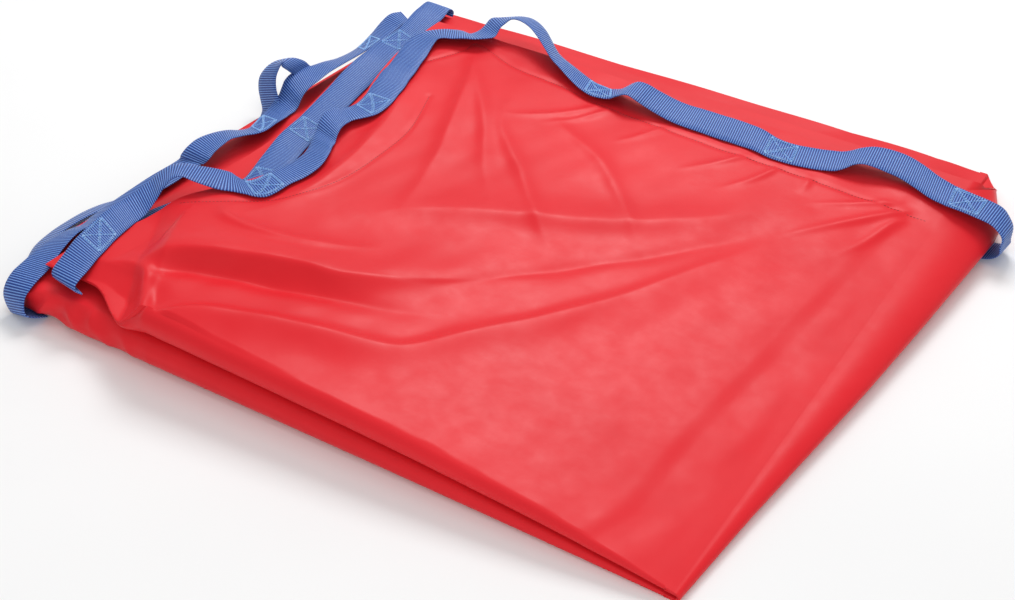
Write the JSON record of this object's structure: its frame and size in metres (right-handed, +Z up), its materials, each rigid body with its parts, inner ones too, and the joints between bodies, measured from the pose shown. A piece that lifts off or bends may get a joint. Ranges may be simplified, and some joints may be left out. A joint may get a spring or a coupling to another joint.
{
  "type": "fire blanket",
  "caption": "Square coated fire blanket folded in quarter, with a slack webbing hem that is stitched down at intervals to make hand loops.",
  "frame": {"origin": "centre of the folded pack's footprint, on the surface that it lies on", "axes": "+X along the front folds towards the side fold, +Y along the side fold towards the free back hems, +Z up"},
  "size_m": [0.7055, 0.6111, 0.0748],
  "materials": {
    "coated_cloth": "satin",
    "hem_webbing": "matte",
    "stitching": "matte"
  },
  "bodies": {
    "lower_half": {"bottom_quarter": "coated_cloth", "lower_inner_quarter": "coated_cloth", "front_fold_lower": "coated_cloth", "side_fold_outer": "coated_cloth", "side_fold_inner": "coated_cloth", "webbing_lower_left_1": "hem_webbing", "webbing_lower_left_2": "hem_webbing", "webbing_lower_left_3": "hem_webbing", "webbing_lower_left_4": "hem_webbing", "webbing_standing_loop": "hem_webbing", "webbing_bottom_left_1": "hem_webbing", "webbing_bottom_left_2": "hem_webbing", "webbing_bottom_left_3": "hem_webbing", "webbing_bottom_back_1": "hem_webbing", "webbing_bottom_back_2": "hem_webbing", "webbing_lower_back": "hem_webbing", "webbing_right_wrap": "hem_webbing", "webbing_left_wrap_lower": "hem_webbing"},
    "upper_half": {"upper_inner_quarter": "coated_cloth", "top_quarter": "coated_cloth", "front_fold_upper": "coated_cloth", "webbing_top_back_1": "hem_webbing", "webbing_top_back_2": "hem_webbing", "webbing_top_back_3": "hem_webbing", "webbing_top_left_1": "hem_webbing", "webbing_top_left_2": "hem_webbing", "webbing_top_left_3": "hem_webbing", "webbing_top_left_4": "hem_webbing", "webbing_upper_left_1": "hem_webbing", "webbing_upper_left_2": "hem_webbing", "webbing_upper_left_3": "hem_webbing", "webbing_upper_left_4": "hem_webbing", "webbing_left_wrap_upper": "hem_webbing"}
  },
  "joints": [
    {"name": "unfold", "type": "hinge", "parent": "lower_half", "child": "upper_half", "pos_m": [0.296, 0, 0.0106], "axis": [0, 0.9998, 0.0213], "range_deg": [0, 180], "deforming": ["side_fold_outer", "side_fold_inner", "webbing_right_wrap"]}
  ]
}
